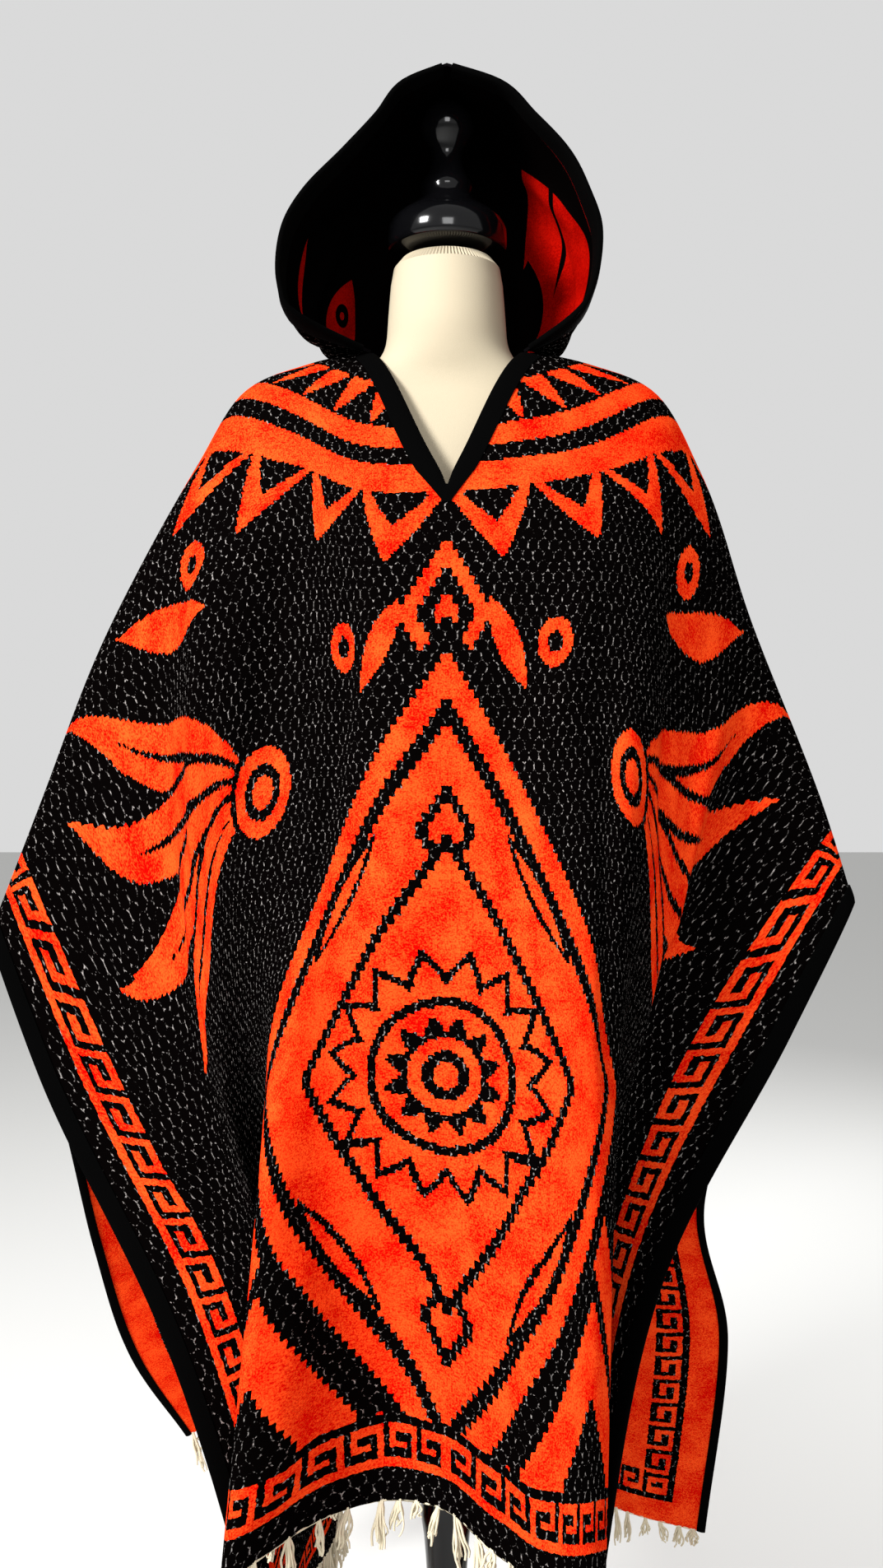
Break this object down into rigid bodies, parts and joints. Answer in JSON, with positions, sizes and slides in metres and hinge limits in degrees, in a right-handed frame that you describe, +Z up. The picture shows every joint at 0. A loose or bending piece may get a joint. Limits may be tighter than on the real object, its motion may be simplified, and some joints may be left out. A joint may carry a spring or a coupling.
{
  "type": "hooded poncho on dress form",
  "caption": "Hooded blanket poncho with a bound V-neck, side bindings and fringed hems, draped over a limbless dress form on a turned pole and round base.",
  "frame": {"origin": "under the middle of the form's base, on the floor", "axes": "+Z up, -Y towards the front of the garment, +X to the right of a viewer who faces it"},
  "size_m": [0.8362, 0.5421, 1.694],
  "materials": {
    "blanket_cloth": "double-faced jacquard blanket weave, black and orange-red, softly napped",
    "binding": "plain black woven binding",
    "fringe": "cream cotton yarn, matte",
    "form_cover": "smooth cream jersey cover, matte",
    "black_lacquer": "turned wood in gloss black lacquer"
  },
  "bodies": {
    "root": {"poncho_front": "blanket_cloth", "poncho_back": "blanket_cloth", "hood_left": "blanket_cloth", "hood_right": "blanket_cloth", "side_binding_left": "binding", "side_binding_right": "binding", "neck_binding": "binding", "fringe_front": "fringe", "fringe_back": "fringe", "form_torso": "form_cover", "form_neck_cap": "black_lacquer", "form_pole": "black_lacquer", "form_base": "black_lacquer"}
  },
  "joints": []
}
